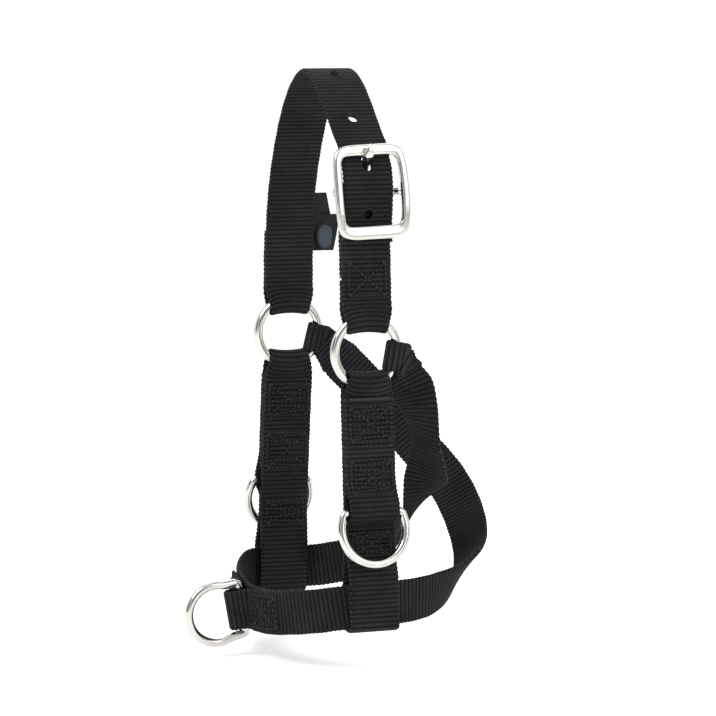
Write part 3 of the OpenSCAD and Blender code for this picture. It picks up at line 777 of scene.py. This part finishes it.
# -------------------------------- nose straps
LEFT_FRONT = [(0.0076, -0.031, -0.1954, 0, 0, 1), (0.022, -0.0278, -0.1942, 0, 0, 1),
              (0.0354, -0.0194, -0.192, 0, 0, 1), (0.0427, -0.0095, -0.190, 0, 0, 1)]
LEFT_BACK = [(CHEEK_X, 0, NOSE_Z, 0, 0, 1), (0.0443, 0.012, -0.1889, 0.03, 0, 1),
             (0.0395, 0.0255, -0.188, 0.15, 0.05, 1), (0.030, 0.0395, -0.1845, 0.45, 0.25, 0.85),
             (0.0165, 0.0508, -0.1765, 0.65, 0.5, 0.55), (0.0015, 0.0548, -0.1655, 0.5, 0.75, 0.45),
             (-0.013, 0.053, -0.153, 0.3, 0.85, 0.45), (-0.0255, 0.0445, -0.1395, 0.1, 0.8, 0.6),
             (-0.0335, 0.0335, -0.124, 0, 0.75, 0.65), (-0.0364, 0.0215, -0.111, 0, 0.55, 0.85)]
RIGHT_FRONT = [(0.0075, -0.0285, -0.1954, 0, 0, 1), (0.021, -0.0268, -0.193, 0, 0, 1),
               (0.0345, -0.0211, -0.191, 0, 0, 1), (0.0426, -0.0135, -0.189, 0, 0, 1)]
RIGHT_BACK = [(CHEEK_X, -RIGHT_SHIFT, NOSE_Z, 0, 0, 1), (0.0443, 0.008, -0.1895, 0.03, 0, 1),
              (0.0365, 0.0205, -0.187, 0.2, 0.1, 1), (0.021, 0.0275, -0.180, 0.2, 0.25, 0.95),
              (0.003, 0.031, -0.1695, 0.05, 0.4, 0.9), (-0.013, 0.0315, -0.1575, -0.3, 0.6, 0.7),
              (-0.0245, 0.030, -0.145, -0.75, 0.4, 0.35), (-0.031, 0.0265, -0.1315, -0.9, 0.2, 0),
              (-0.0344, 0.022, -0.119, -0.7, 0.5, 0.25), (-0.0356, 0.0172, -0.108, 0, 0.6, 0.8)]
RING_ANGLES = {-1: math.radians(-14), 1: math.radians(-10)}
LEAD_TILT = math.radians(10)
LEAD_FOLD_R = D_WIRE / 2 + GAP + WEB_T / 2
LEAD_FOLD_REACH = 0.0022
LEAD_FOLD_HALF = 0.0073
LEAD_REACH = 0.004
NEAR_LAP_STEPS, FAR_LAP_STEPS = 9, 6
SPANS = 6
FLAP_ROWS = 6


def at_ring(side, q):
    """A point of a nose strap by an upper ring, from [away from its centre, outward]."""
    c, s = math.cos(RING_ANGLES[side]), math.sin(RING_ANGLES[side])
    return [side * (RING.x + q[1]), q[0] * c, RING.z + q[0] * s, 0, -s, c]


def with_ring_end(side, back):
    """A nose strap's last stretch: round an upper ring and back along itself."""
    main = smooth(back + [at_ring(side, (NOSE_LOOP_R + 0.0028, -LOOP_FOLD_R - GAP))], SPANS)
    fold = [at_ring(side, q) for q in arc((NOSE_LOOP_R, 0), LOOP_FOLD_R, -90, -270)]
    head = unit(np.gradient(main[:, :3], axis=0))
    flap = []
    for i in range(len(main) - 1, len(main) - 1 - FLAP_ROWS, -1):
        n = unit(np.cross(head[i], main[i, 3:])) * -side
        away = np.linalg.norm(main[i, :3] - main[-1, :3])
        d = max(WEB_T + LAYER_GAP, 2 * LOOP_FOLD_R - 0.7 * away)
        flap.append(list(main[i, :3] + n * d) + list(main[i, 3:]))
    return np.vstack([main, fold, flap])


def flip_x(route):
    """The same route on the other side."""
    return [(-p[0], p[1], p[2], -p[3], p[4], p[5]) for p in route]


def at_lead(across, forward):
    """A point by the lead ring's bar, which leans with the ring."""
    c, s = math.cos(LEAD_TILT), math.sin(LEAD_TILT)
    return (across, LEAD.y - forward * c, LEAD.z - forward * s, 0, -s, c)


def lapped(route, steps):
    """The start of a route set off sideways by one layer, running back to its first point."""
    dense = smooth(route, SPANS)
    head = unit(np.gradient(dense[:, :3], axis=0))
    off = -unit(np.cross(head, (0, 0, 1))) * (WEB_T + LAYER_GAP)
    return [list(dense[i, :3] + off[i]) + [0, 0, 1] for i in range(steps, 0, -1)]


def nose_width(p):
    """Width of a nose strap, which draws in where it goes round an upper ring."""
    by_ring = np.clip((0.023 - math.hypot(p[1], p[2] - RING.z)) / 0.008, 0, 1)
    return NOSE_W - (NOSE_W - 2 * SHOWN_NOSE_HALF) * by_ring


def left_nose_width(p):
    by_lead = np.clip((LEAD.y + LEAD_REACH - p[1]) / LEAD_REACH, 0, 1)
    return nose_width(p) - (NOSE_W - 2 * LEAD_FOLD_HALF) * by_lead


lead_fold = [at_lead(x, y) for x, y in arc((0, LEAD_FOLD_REACH), LEAD_FOLD_R, 180, 0)]
left_route = np.vstack([lapped(flip_x(RIGHT_FRONT), FAR_LAP_STEPS), [at_lead(-0.0044, -0.0015)], lead_fold,
                        with_ring_end(-1, [at_lead(0.0044, -0.0015)] + LEFT_FRONT + LEFT_BACK)])
right_route = np.vstack([lapped(LEFT_FRONT, NEAR_LAP_STEPS), [(0, LEAD.y + 0.0044, LEAD.z, 0, 0, 1)],
                         with_ring_end(1, [(-0.003, LEAD.y + 0.0046, LEAD.z, 0, 0, 1)]
                                       + flip_x(RIGHT_FRONT) + flip_x(RIGHT_BACK))])
left_nose = Strap(left_route, left_nose_width, seed=5.2, rounding=9)
right_nose = Strap(right_route, nose_width, seed=6.4, rounding=9)
place(left_nose.mesh("left_nose_strap_webbing"), "lower", "webbing", WEBBING, "left_nose_strap")
place(right_nose.mesh("right_nose_strap_webbing"), "lower", "webbing", WEBBING, "right_nose_strap")


def nose_s(strap, point):
    """Distance along a nose strap of the row nearest a point."""
    return strap.s[int(np.argmin(np.linalg.norm(strap.mid - np.array(point), axis=1)))]


# The lap is sewn behind the lead ring, and each nose strap's end is sewn down behind its ring
lap_near = nose_s(left_nose, (0.0072, -0.0311, -0.1954))
lap_far = nose_s(left_nose, (0.0225, -0.0276, -0.1942))
outer_face = 1 if left_nose.n[left_nose.row(lap_far)][0] > 0 else -1
sew("nose_lap_stitches", left_nose, filled_lines(lap_near, lap_far, 0.0058), (outer_face,), "lower",
    "nose_lap_stitching")
sew("nose_far_lap_stitches", left_nose, filled_lines(0.0016, 0.0105, 0.0056), (outer_face,), "lower")
for strap, word in ((left_nose, "left"), (right_nose, "right")):
    end = strap.s[-1]
    sew(f"{word}_nose_end_stitches", strap, box_lines(end - 0.0065, end - 0.002, 0.005, False), (1, -1),
        "lower", f"{word}_nose_end_stitching")

# -------------------------------- rings
turn = np.linspace(0, 2 * math.pi, 121)[:-1]
D_START = 22
WELD_R = 0.0001


def weld(t, at, size):
    """A slight swelling where a ring's wire was butt-welded."""
    d = np.abs((t - at + math.pi) % (2 * math.pi) - math.pi)
    return WELD_R * (np.exp(-((d / size) ** 2)) - 0.4 * np.exp(-((3 * d / size) ** 2)))


for side, word, seam in ((1, "left", 0.6), (-1, "right", 2.2)):
    path = np.column_stack([0 * turn + side * RING.x, RING_R * np.cos(turn), RING.z + RING_R * np.sin(turn)])
    ring = wire(f"{word}_upper_ring_wire", path, RING_WIRE / 2 + weld(turn, seam, 0.05), 28, closed=True)
    place(ring, f"{word}_ring", "nickel", NICKEL, f"{word}_upper_ring")


def d_path(half, r, sink):
    """The closed centre line of a D-ring as [along the bar, below the bar]."""
    bow = arc((0, -sink), r, D_START, -180 - D_START, 60)
    bar = np.column_stack([np.linspace(-half, half, 24), np.zeros(24)])
    p = np.vstack([bow, bar])
    p = even(np.column_stack([np.vstack([p, p[:1]]), np.zeros(len(p) + 1)]), 0.0006)[:-1, :2]
    for _ in range(5):
        p = (np.roll(p, 1, axis=0) + 2 * p + np.roll(p, -1, axis=0)) / 4
    return p


def d_ring(word, body, half, r, sink, matrix):
    """A D-ring, from the half-length of its bar, its bow's radius and how far the bow is sunk."""
    p = d_path(half, r, sink)
    path = moved(matrix, np.column_stack([0 * p[:, 0], p[:, 0], p[:, 1]]))
    t = np.linspace(0, 2 * math.pi, len(p), endpoint=False)
    ring = wire(f"{word}_ring_wire", path, D_WIRE / 2 + weld(t, D_SEAM, 0.06), 28, closed=True)
    place(ring, body, "nickel", NICKEL, f"{word}_ring")


SIDE_TILT = math.radians(8)
D_SEAM = 5.2
for side, word in ((1, "left"), (-1, "right")):
    at = cheek_frame(side) @ Matrix.Translation((POCKET_X, 0, -POCKET_DROP)) @ about_y(-SIDE_TILT)
    d_ring(f"{word}_side", f"{word}_d_ring", 0.0113, 0.0124, 0.0062, at)
d_ring("lead", "lead_d_ring", 0.0096, 0.01065, 0.010,
       Matrix.Translation(LEAD) @ Matrix.Rotation(LEAD_TILT - math.pi / 2, 4, "X"))

# -------------------------------- buckle
CORNER_POWER = 7.0
RAIL_POWER = 3.6
RAIL_SIDES = 24
BELLY = 0.045
BOW, BOW_AT_MIDDLE = -0.0011, 0.0005
frame_mid_w = FRAME_W / 2 - FRAME_RAIL / 2
frame_mid_top = FRAME_H / 2 - FRAME_TOP / 2
frame_mid_bottom = FRAME_H / 2 - FRAME_BOTTOM / 2


def squared(t, power):
    """How far out a circle with squared corners lies at the angle t."""
    return (np.abs(np.cos(t)) ** power + np.abs(np.sin(t)) ** power) ** (-1 / power)


def frame_path():
    """Centre line and half-width of the buckle's frame as it goes round: [outward, across, up]."""
    t = np.linspace(0, 2 * math.pi, 160, endpoint=False)
    c, s, k = np.cos(t), np.sin(t), squared(t, CORNER_POWER)
    y, z = frame_mid_w * c * k, np.where(s > 0, frame_mid_top, frame_mid_bottom) * s * k
    belly = 1 - (z / frame_mid_top) ** 2
    y = y * (1 + BELLY * np.clip(belly, 0, 1))
    bow = BOW * (z / frame_mid_top) ** 2 + BOW_AT_MIDDLE
    share = np.clip((np.abs(s * k) - 0.75) / 0.25, 0, 1)
    half = FRAME_RAIL / 2 + share * (np.where(s > 0, FRAME_TOP, FRAME_BOTTOM) / 2 - FRAME_RAIL / 2)
    return np.column_stack([bow, y, z]), half


path, half = frame_path()
head = unit(np.roll(path, -1, axis=0) - np.roll(path, 1, axis=0))
out = np.broadcast_to(np.array((1.0, 0, 0)), path.shape)
inward = unit(np.cross(head, out))
# The cross-section of the castings, a square with rounded corners
t = np.linspace(0, 2 * math.pi, RAIL_SIDES, endpoint=False)
shape_a, shape_b = squared(t, RAIL_POWER) * np.cos(t), squared(t, RAIL_POWER) * np.sin(t)
rails = (path[:, None] + inward[:, None] * (half[:, None] * shape_a[None])[..., None]
         + out[:, None] * (FRAME_T / 2 * shape_b[None])[None, ..., None])
frame_ob = new_object("rails", moved(FRAME, rails.reshape(-1, 3)),
                      tube_faces(len(path), RAIL_SIDES, closed=True))
bar_half = frame_mid_w - 0.0002
# Half of the bar as [outward, across], from the rail round the corner and in towards the middle
bar_end = [(FRAME_OUT - 0.0006, bar_half), (FRAME_OUT - 0.0022, bar_half), (0.0008, bar_half - 0.0003),
           (0, bar_half - 0.0016), (0, 0.006)]
bar_path = smooth([(x, -y, 0) for x, y in bar_end] + [(x, y, 0) for x, y in reversed(bar_end)], 6)
lug = np.clip((np.abs(bar_path[:, 1]) - bar_half + 0.0022) / 0.002, 0, 1)
bar_path = bar_path + (0, FRAME_SIDE, 0)
bar_ob = wire("bar", moved(BUCKLE, bar_path), BAR_D / 2 + 0.0004 * lug, 20, side_axis=(0, 0, 1))
place(join("buckle_frame_casting", [frame_ob, bar_ob]), "root", "nickel", CAST_NICKEL, "buckle_frame")

# -------------------------------- tongue
TONGUE_T = 0.0016
TONGUE_TOP = 0.01715
tip = np.array((FRAME_OUT - 0.001 + FRAME_T / 2 + TONGUE_T, TONGUE_TOP))
tongue_flat = np.vstack([arc((0, 0), BAR_D / 2 + 0.0009, -150, 80, 24),
                         smooth([(0.0007, 0.0030), (0.0005, 0.006), (0.0013, 0.0090), (0.0039, 0.0115),
                                 tuple(tip - (0.0003, 0.0040)), tuple(tip)], 14)])
tongue_route = even(planar_route(tongue_flat, BUCKLE), 0.0004)
tongue_route[:, :3] = soften(tongue_route[:, :3], 6)
share = np.linspace(0, 1, len(tongue_route))
wide = np.interp(share, [0, 0.35, 0.6, 0.82, 0.95, 1], [0.0015, 0.0015, 0.00165, 0.0016, 0.0009, 0.0003])
thick = np.interp(share, [0, 0.35, 0.8, 0.95, 1], [0.0007, 0.0008, 0.0008, 0.0006, 0.00025])
head = unit(np.gradient(tongue_route[:, :3], axis=0))
side_dir = tongue_route[:, 3:6]
up = np.cross(head, side_dir)
rings = (tongue_route[:, None, :3] + side_dir[:, None] * (wide[:, None] * shape_a[None])[..., None]
         + up[:, None] * (thick[:, None] * shape_b[None])[..., None])
tongue_ob = new_object("buckle_tongue_casting", rings.reshape(-1, 3),
                       tube_faces(len(tongue_route), RAIL_SIDES))
place(tongue_ob, "tongue", "nickel", CAST_NICKEL, "buckle_tongue")

# -------------------------------- label
LABEL_T = 0.0006
LABEL_SEAM_Y = 0.0088
LABEL_LOW, LABEL_MID, LABEL_HIGH = -0.0685, -0.0550, -0.0462
LABEL_ROOT_Y = 0.0078
LABEL_FREE_Y = 0.0085
LOWER_END_Y, UPPER_END_Y = 0.019, 0.0158
OVAL_HALF_W, OVAL_HALF_H = 0.0034, 0.0050
OVAL_RAISED = 0.0006
far_rows = [i for i in range(CROWN_LOW) if crown.mid[i][0] < -0.030]
outward_sign = -np.sign(crown.n[far_rows[0]][0])


def on_label(i):
    """The point of the label's sheet at a row of the crown strap."""
    return crown.mid[i] + crown.n[i] * outward_sign * (WEB_T + LABEL_T) / 2


def leaf(name, z0, z1, y1, curl, trim):
    """One leaf of the folded label, sewn to the strap along one edge and free at y1."""
    rows = [i for i in far_rows if z0 <= crown.mid[i][2] <= z1][::2]
    cols = np.linspace(LABEL_ROOT_Y, y1, 22)
    verts = []
    for number, i in enumerate(rows):
        share = number / (len(rows) - 1)
        far = y1 - trim * (2 * share - 1) - 0.00015 * math.cos(share * 4)
        for col in cols:
            y = LABEL_ROOT_Y + (col - LABEL_ROOT_Y) * (far - LABEL_ROOT_Y) / (y1 - LABEL_ROOT_Y)
            free = max(y - LABEL_FREE_Y, 0) / 0.0095
            lean = curl * free**2 + 0.00025 * math.sin(y * 900 + share * 5) * free
            verts.append(on_label(i) + np.array((lean, y, 0)))
    n = len(cols)
    faces = [(r * n + c, r * n + c + 1, (r + 1) * n + c + 1, (r + 1) * n + c)
             for r in range(len(rows) - 1) for c in range(n - 1)]
    ob = new_object(name, verts, faces)
    thick = ob.modifiers.new("thickness", "SOLIDIFY")
    thick.thickness = LABEL_T * 0.8
    thick.offset = 0
    rounded = ob.modifiers.new("edges", "BEVEL")
    rounded.width = LABEL_T * 0.25
    rounded.segments = 2
    return ob


lower = leaf("label_lower_leaf", LABEL_LOW, LABEL_MID + LABEL_T, LOWER_END_Y, 0.0011, 0.0013)
upper = leaf("label_upper_leaf", LABEL_MID, LABEL_HIGH, UPPER_END_Y, -0.0006, -0.0011)
place(lower, "root", "label", LABEL, "label_tag")
place(upper, "root", "label", LABEL)

patch_lo, patch_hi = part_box("label_patch")
patch = (np.array(patch_lo) + np.array(patch_hi)) / 2
patch_row = min(far_rows, key=lambda i: abs(crown.mid[i][2] - patch[2]))
patch[0] = on_label(patch_row)[0] + OVAL_RAISED
turns = np.linspace(0, 2 * math.pi, 57)[:-1]


def on_oval(out, share, a):
    """A point of the oval: how far it stands out, its share of the size, and its angle."""
    return patch + np.array((out, OVAL_HALF_W * share * math.cos(a), OVAL_HALF_H * share * math.sin(a)))


# The oval is a shallow dome: rings of points, then one point in the middle
oval = [on_oval(OVAL_RAISED, 1, a) for a in turns]
disc = [on_oval(0.0004 + 0.0005 * (1 - r * r), r, a) for r in (1, 0.8, 0.6, 0.4, 0.2) for a in turns]
disc.append(on_oval(0.0009, 0, 0))
n = len(turns)
disc_faces = [(r * n + k, r * n + (k + 1) % n, (r + 1) * n + (k + 1) % n, (r + 1) * n + k)
              for r in range(4) for k in range(n)]
disc_faces += [(4 * n + k, 4 * n + (k + 1) % n, 5 * n) for k in range(n)]
place(new_object("label_oval_patch", disc, disc_faces), "root", "label_oval", OVAL, "label_patch")
border_r = 0.00034 + 0.00007 * np.cos(28 * turns)
border = wire("label_oval_border", oval, border_r, 10, closed=True, side_axis=(1, 0, 0.001))
place(border, "root", "label_oval", THREAD)

# A line of stitches holds the label's leaves to the strap
label_rows = [i for i in far_rows if LABEL_LOW + 0.0015 < crown.mid[i][2] < LABEL_HIGH - 0.0015]
stitches = []
for face in (1, -1):
    for a, b in zip(label_rows[::8], label_rows[5::8]):
        out = crown.n[a] * outward_sign
        off = out * ((WEB_T + LABEL_T) / 2 + face * 0.2 * WEB_T) + np.array((0, LABEL_SEAM_Y, 0))
        stitches.append(stitch_verts(crown.mid[a] + off, crown.mid[b] + off, out * face))
place(stitch_object("label_stitches", stitches), "root", "thread", THREAD, "label_stitching")

# -------------------------------- punched hole rims
for number, s in enumerate(hole_runs):
    place(hole_rim(f"punched_hole_rim_{number + 1}", s), "root", "webbing", THREAD)

# -------------------------------- stage
SEEN_FROM = math.radians(68)
WHITE, DARK_GREY = (1, 1, 1, 1), (0.07, 0.07, 0.08, 1)
FLOOR_GAP = 0.004
MIDDLE = Vector((0, 0, -0.1))
floor_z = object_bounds()[0].z - FLOOR_GAP
bpy.ops.mesh.primitive_circle_add(vertices=96, radius=12, fill_type="NGON", location=(0, 0, floor_z))
floor = bpy.context.object
floor.name = "floor"
floor_mat, floor_tree, floor_bsdf = material("pale_floor")
tone = noise(floor_tree, 6.0)
pale = mix_colour(floor_tree, tone, (0.90, 0.90, 0.90, 1), (0.93, 0.93, 0.93, 1))
feed(floor_tree, floor_bsdf, {"Base Color": pale, "Roughness": 0.75, "Specular IOR Level": 0.0,
                              "Emission Color": WHITE, "Emission Strength": 0.22})
floor.data.materials.append(floor_mat)

world = bpy.data.worlds.new("studio")
bpy.context.scene.world = world
world.use_nodes = True
sky = world.node_tree
# White behind the halter, with a grey quarter on the side that it is seen from, so that the
# metal has something dark to reflect
toward_xy = (math.sin(SEEN_FROM), -math.cos(SEEN_FROM), 0.0)
look = node(sky, "ShaderNodeTexCoord").outputs["Generated"]
front = node(sky, "ShaderNodeVectorMath", {0: look, 1: toward_xy}, operation="DOT_PRODUCT").outputs["Value"]
aside = node(sky, "ShaderNodeVectorMath", {0: look, 1: (toward_xy[1], -toward_xy[0], 0.0)},
             operation="DOT_PRODUCT").outputs["Value"]
height = node(sky, "ShaderNodeSeparateXYZ", {0: look}).outputs[2]
stripe = ramp(sky, math_node(sky, "COSINE", times(sky, aside, 7.5)), -0.2, 0.4)
grey = times(sky, ramp(sky, front, 0.05, 0.35), ramp(sky, height, 0.75, 0.90, 1.0, 0.0))
grey = times(sky, grey, ramp(sky, stripe, 0.0, 1.0, 0.25, 1.0))
feed(sky, sky.nodes["Background"], {"Color": mix_colour(sky, grey, WHITE, DARK_GREY), "Strength": 1.1})
bpy.context.scene.view_settings.view_transform = "Standard"


def towards(azimuth, elevation):
    """The direction from the halter to an azimuth and elevation. Azimuth 0 is at -Y and 90 at +X."""
    return Vector((math.sin(azimuth) * math.cos(elevation), -math.cos(azimuth) * math.cos(elevation),
                   math.sin(elevation)))


def softbox(name, azimuth, elevation, distance, size, power):
    """An area light that faces the halter, its angles in degrees."""
    back = towards(math.radians(azimuth), math.radians(elevation))
    data = bpy.data.lights.new(name, "AREA")
    data.shape = "RECTANGLE"
    data.size, data.size_y = size
    data.energy = power
    ob = bpy.data.objects.new(name, data)
    ob.location = MIDDLE + back * distance
    ob.rotation_mode = "QUATERNION"
    ob.rotation_quaternion = back.to_track_quat("Z", "Y")
    bpy.context.scene.collection.objects.link(ob)


softbox("key", 20, 48, 0.9, (0.5, 0.5), 4.5)
softbox("fill", 120, 25, 1.0, (0.5, 0.7), 3.0)
softbox("back", 250, 40, 1.0, (0.6, 0.4), 2.5)

# -------------------------------- camera
SENSOR_MM = 36
VIEW_W = 0.26134
VIEW_RIGHT, VIEW_DOWN = 0.0117, 0.104
DISTANCE = 1.3
ELEVATION = math.radians(6.2)
toward = towards(SEEN_FROM, ELEVATION)
right = Vector((math.cos(SEEN_FROM), math.sin(SEEN_FROM), 0))
over = toward.cross(right)
cam_data = bpy.data.cameras.new("camera")
cam_data.sensor_width = SENSOR_MM
cam_data.lens = SENSOR_MM * DISTANCE / VIEW_W
cam = bpy.data.objects.new("camera", cam_data)
cam.location = toward * DISTANCE + right * VIEW_RIGHT - over * VIEW_DOWN
cam.rotation_mode = "QUATERNION"
cam.rotation_quaternion = toward.to_track_quat("Z", "Y")
bpy.context.scene.collection.objects.link(cam)
bpy.context.scene.camera = cam
